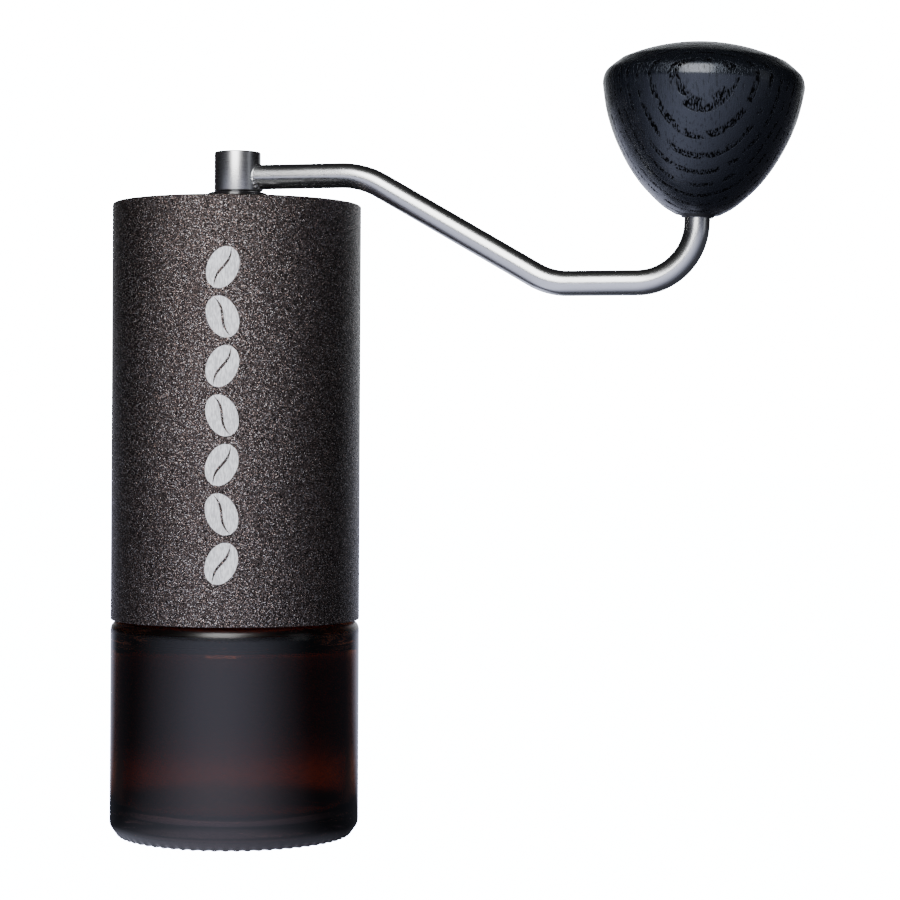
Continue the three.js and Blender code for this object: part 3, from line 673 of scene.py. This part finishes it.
# %% Finishes for CAD nodes
FINISHES = {
    "black_polymer": POLYMER, "fastener_steel": PLAIN_STEEL, "burr_steel": BURR_STEEL,
    "bearing_steel": RACE_STEEL, "axle_steel": PLAIN_STEEL, "spring_steel": WIRE_STEEL,
    "brass": BRASS, "black_rubber": RUBBER,
}
slots = {row["node"]: row["material_slot"] for row in frame["record"]["subparts"]}
kept = 0
for name, cad_object in frame["nodes"].items():
    finish = FINISHES.get(slots[name])
    if finish is not None:
        cad_object.data.materials.clear()
        cad_object.data.materials.append(finish)
        kept += 1
print(f"{kept} CAD nodes finished")

# %% [markdown]
# ## Studio
# The floor and the backdrop are plain white to the camera. What they give to the object is much
# less, and is not even: the floor glows in front and far behind, and the backdrop behind. The
# sides stay dark, so that metal, glass and stained wood show their shape by what they reflect.

# %% Directions
CAMERA_TURN = math.radians(14)
RIGHT = np.array([math.cos(CAMERA_TURN), math.sin(CAMERA_TURN), 0])
FORWARD = np.array([-math.sin(CAMERA_TURN), math.cos(CAMERA_TURN), 0])
UP = np.array([0, 0, 1.0])
TARGET = np.array([0.03, 0, 0.10])


def heading(degrees):
    """The level direction that many degrees counter-clockwise, seen from above, from the way to
    the camera."""
    turn = math.radians(degrees)
    return -FORWARD * math.cos(turn) + RIGHT * math.sin(turn)


# %% Floor and backdrop
def studio_glow(tree, vector, towards, edge, low, high, seen):
    """Strength of a glow: `seen` for the camera. For other rays it is `high` where the unit vector
    points `towards`, and sinks softly to `low` at the cosine `edge`."""
    along = node(tree, "ShaderNodeVectorMath", {"operation": "DOT_PRODUCT"}, i0=vector, i1=tuple(towards))
    share = node(tree, "ShaderNodeMapRange", Value=along.outputs["Value"])
    share.inputs["From Min"].default_value = edge
    given = math_node(tree, "POWER", share.outputs[0], 2.2)
    given = math_node(tree, "MULTIPLY_ADD", given, high - low, low)
    path = node(tree, "ShaderNodeLightPath")
    strength = node(tree, "ShaderNodeMix", {"data_type": "FLOAT"})
    tree.links.new(path.outputs["Is Camera Ray"], strength.inputs[0])
    tree.links.new(given, strength.inputs[2])
    strength.inputs[3].default_value = seen
    return strength.outputs[0]


floor = bpy.data.objects.new("studio_floor", bpy.data.meshes.new("studio_floor"))
FLOOR_R, FLOOR_DROP, FLOOR_SIDES = 6, 0.0002, 96
disc = np.arange(FLOOR_SIDES) / FLOOR_SIDES * TURN
rim = np.stack([FLOOR_R * np.cos(disc), FLOOR_R * np.sin(disc), 0 * disc - FLOOR_DROP], axis=1)
floor.data.from_pydata(rim, [], [list(range(FLOOR_SIDES))])
floor_white = bpy.data.materials.new("studio_floor_white")
floor_white.use_nodes = True
tree = floor_white.node_tree
tree.nodes.clear()
spot = object_place(tree)
outward = node(tree, "ShaderNodeVectorMath", {"operation": "NORMALIZE"}, i0=spot).outputs[0]
front = studio_glow(tree, outward, heading(-10), -0.05, 0.06, 1.5, 22.0)
rear = studio_glow(tree, outward, heading(182), 0.60, 0.0, 1.6, 22.0)
pool = math_node(tree, "MAXIMUM", front, rear)
glow = node(tree, "ShaderNodeEmission", Color=(0.76, 0.79, 1.0, 1), Strength=pool)
tree.links.new(glow.outputs[0], node(tree, "ShaderNodeOutputMaterial").inputs["Surface"])
floor.data.materials.append(floor_white)
bpy.context.collection.objects.link(floor)

world = bpy.data.worlds.new("studio")
bpy.context.scene.world = world
world.use_nodes = True
sky = world.node_tree
way_out = node(sky, "ShaderNodeTexCoord").outputs["Generated"]
behind = studio_glow(sky, way_out, heading(176), 0.74, 0.008, 1.8, 22.0)
background = sky.nodes["Background"]
background.inputs["Color"].default_value = (0.92, 0.96, 1.0, 1)
sky.links.new(behind, background.inputs["Strength"])

# %% Lights
def soft_light(name, across, along, up, width, height, power, colour=(1, 1, 1)):
    """An area light placed from the target by metres across, along and up, facing the target."""
    data = bpy.data.lights.new(name, "AREA")
    data.shape, data.size, data.size_y = "RECTANGLE", width, height
    data.energy, data.color = power, colour
    light = bpy.data.objects.new(name, data)
    where = TARGET + RIGHT * across + FORWARD * along + UP * up
    light.location = where
    light.rotation_euler = Vector(TARGET - where).to_track_quat("-Z", "Y").to_euler()
    bpy.context.collection.objects.link(light)
    return light


soft_light("key_softbox", -0.18, -1.05, 0.62, 0.70, 1.00, 20.5)
soft_light("fill_softbox", 1.20, -0.55, 0.25, 0.40, 0.9, 0.5, (0.90, 0.94, 1.0))

# %% Camera
camera_data = bpy.data.cameras.new("camera")
camera_data.lens, camera_data.sensor_width = 100, 36
camera_data.shift_y = -16 / 900
camera = bpy.data.objects.new("camera", camera_data)
AXLE_LEFT, DISTANCE, CAMERA_HEIGHT, ROLL = 0.0518, 0.606, 0.097, math.radians(-0.3)
camera.location = -FORWARD * DISTANCE + RIGHT * AXLE_LEFT + UP * CAMERA_HEIGHT
camera.rotation_euler = (math.pi / 2, ROLL, CAMERA_TURN)
bpy.context.collection.objects.link(camera)
bpy.context.scene.camera = camera
